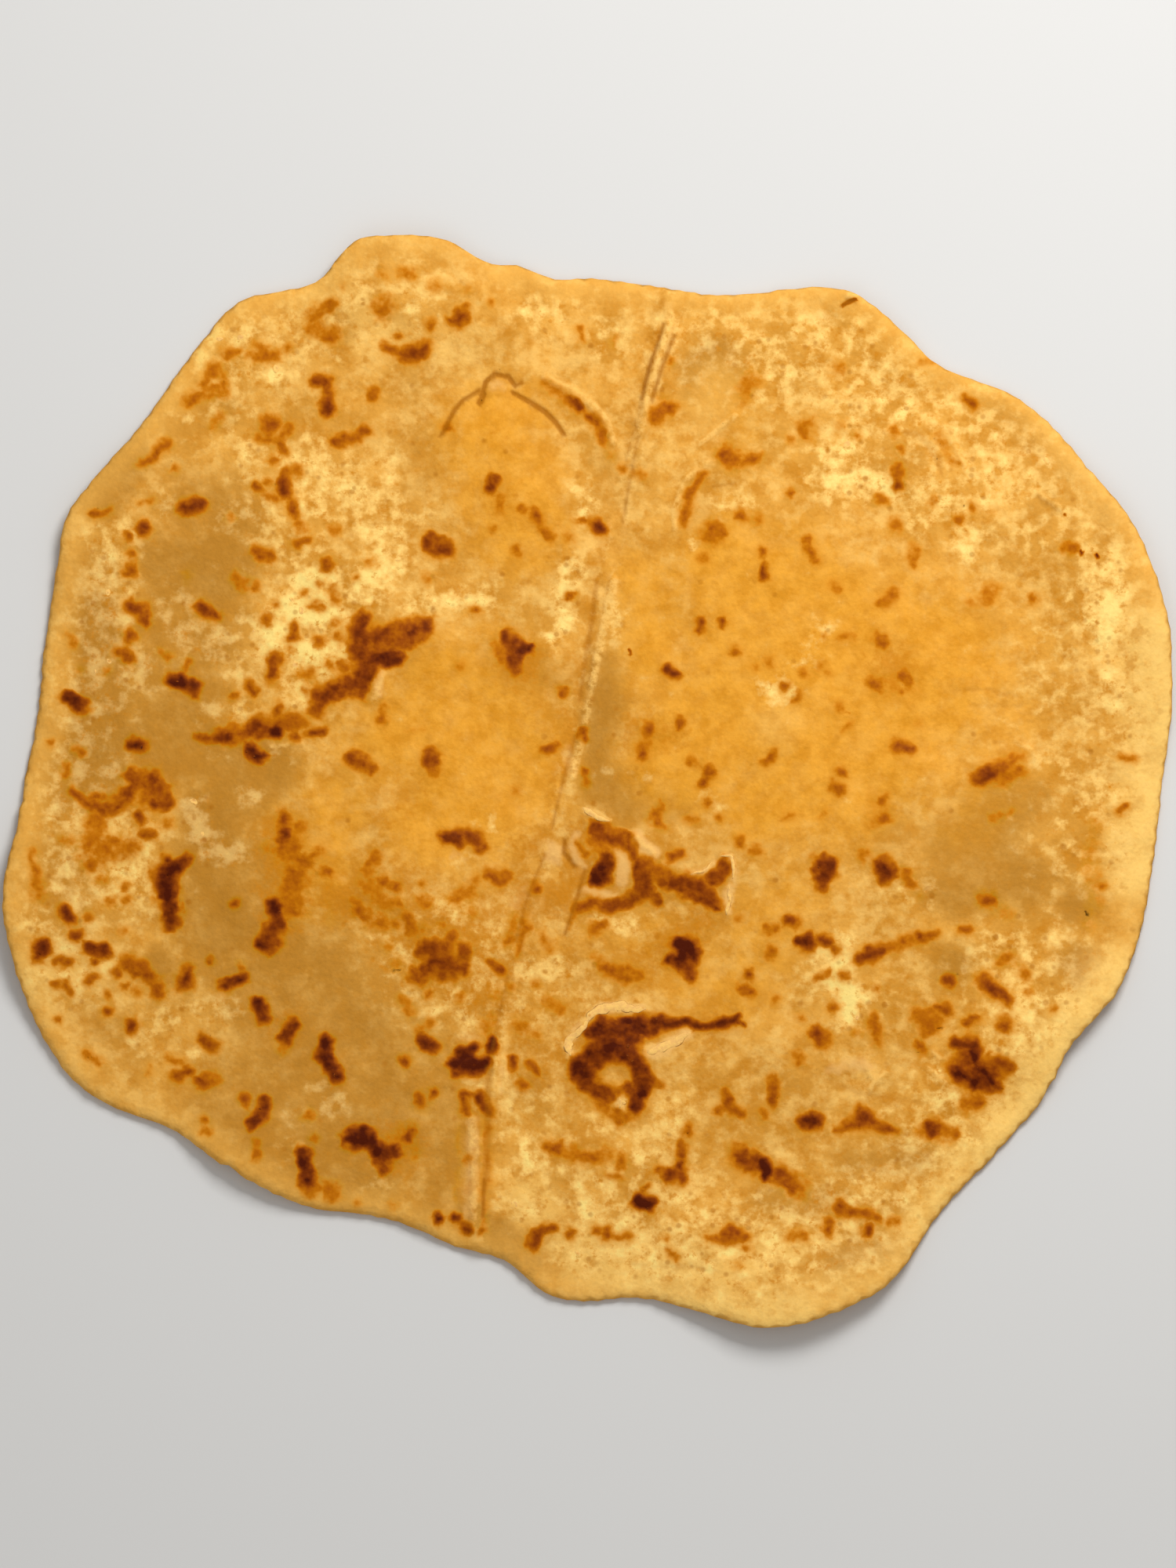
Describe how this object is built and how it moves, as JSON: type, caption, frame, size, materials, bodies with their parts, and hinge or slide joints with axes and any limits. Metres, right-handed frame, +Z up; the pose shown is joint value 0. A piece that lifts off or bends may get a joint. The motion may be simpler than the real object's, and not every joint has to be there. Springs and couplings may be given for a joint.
{
  "type": "paratha",
  "caption": "Round of fried layered flatbread, folded in half and opened out again, lying on its underside.",
  "frame": {"origin": "on the table, under the middle of the bread's outline", "axes": "+X to the bread's right across its greatest width, +Y away from the viewer along the fold, +Z up out of the browned side"},
  "size_m": [0.2694, 0.2564, 0.0074],
  "materials": {
    "fried_dough": "matte"
  },
  "bodies": {
    "root": {"paratha": "fried_dough"}
  },
  "joints": []
}
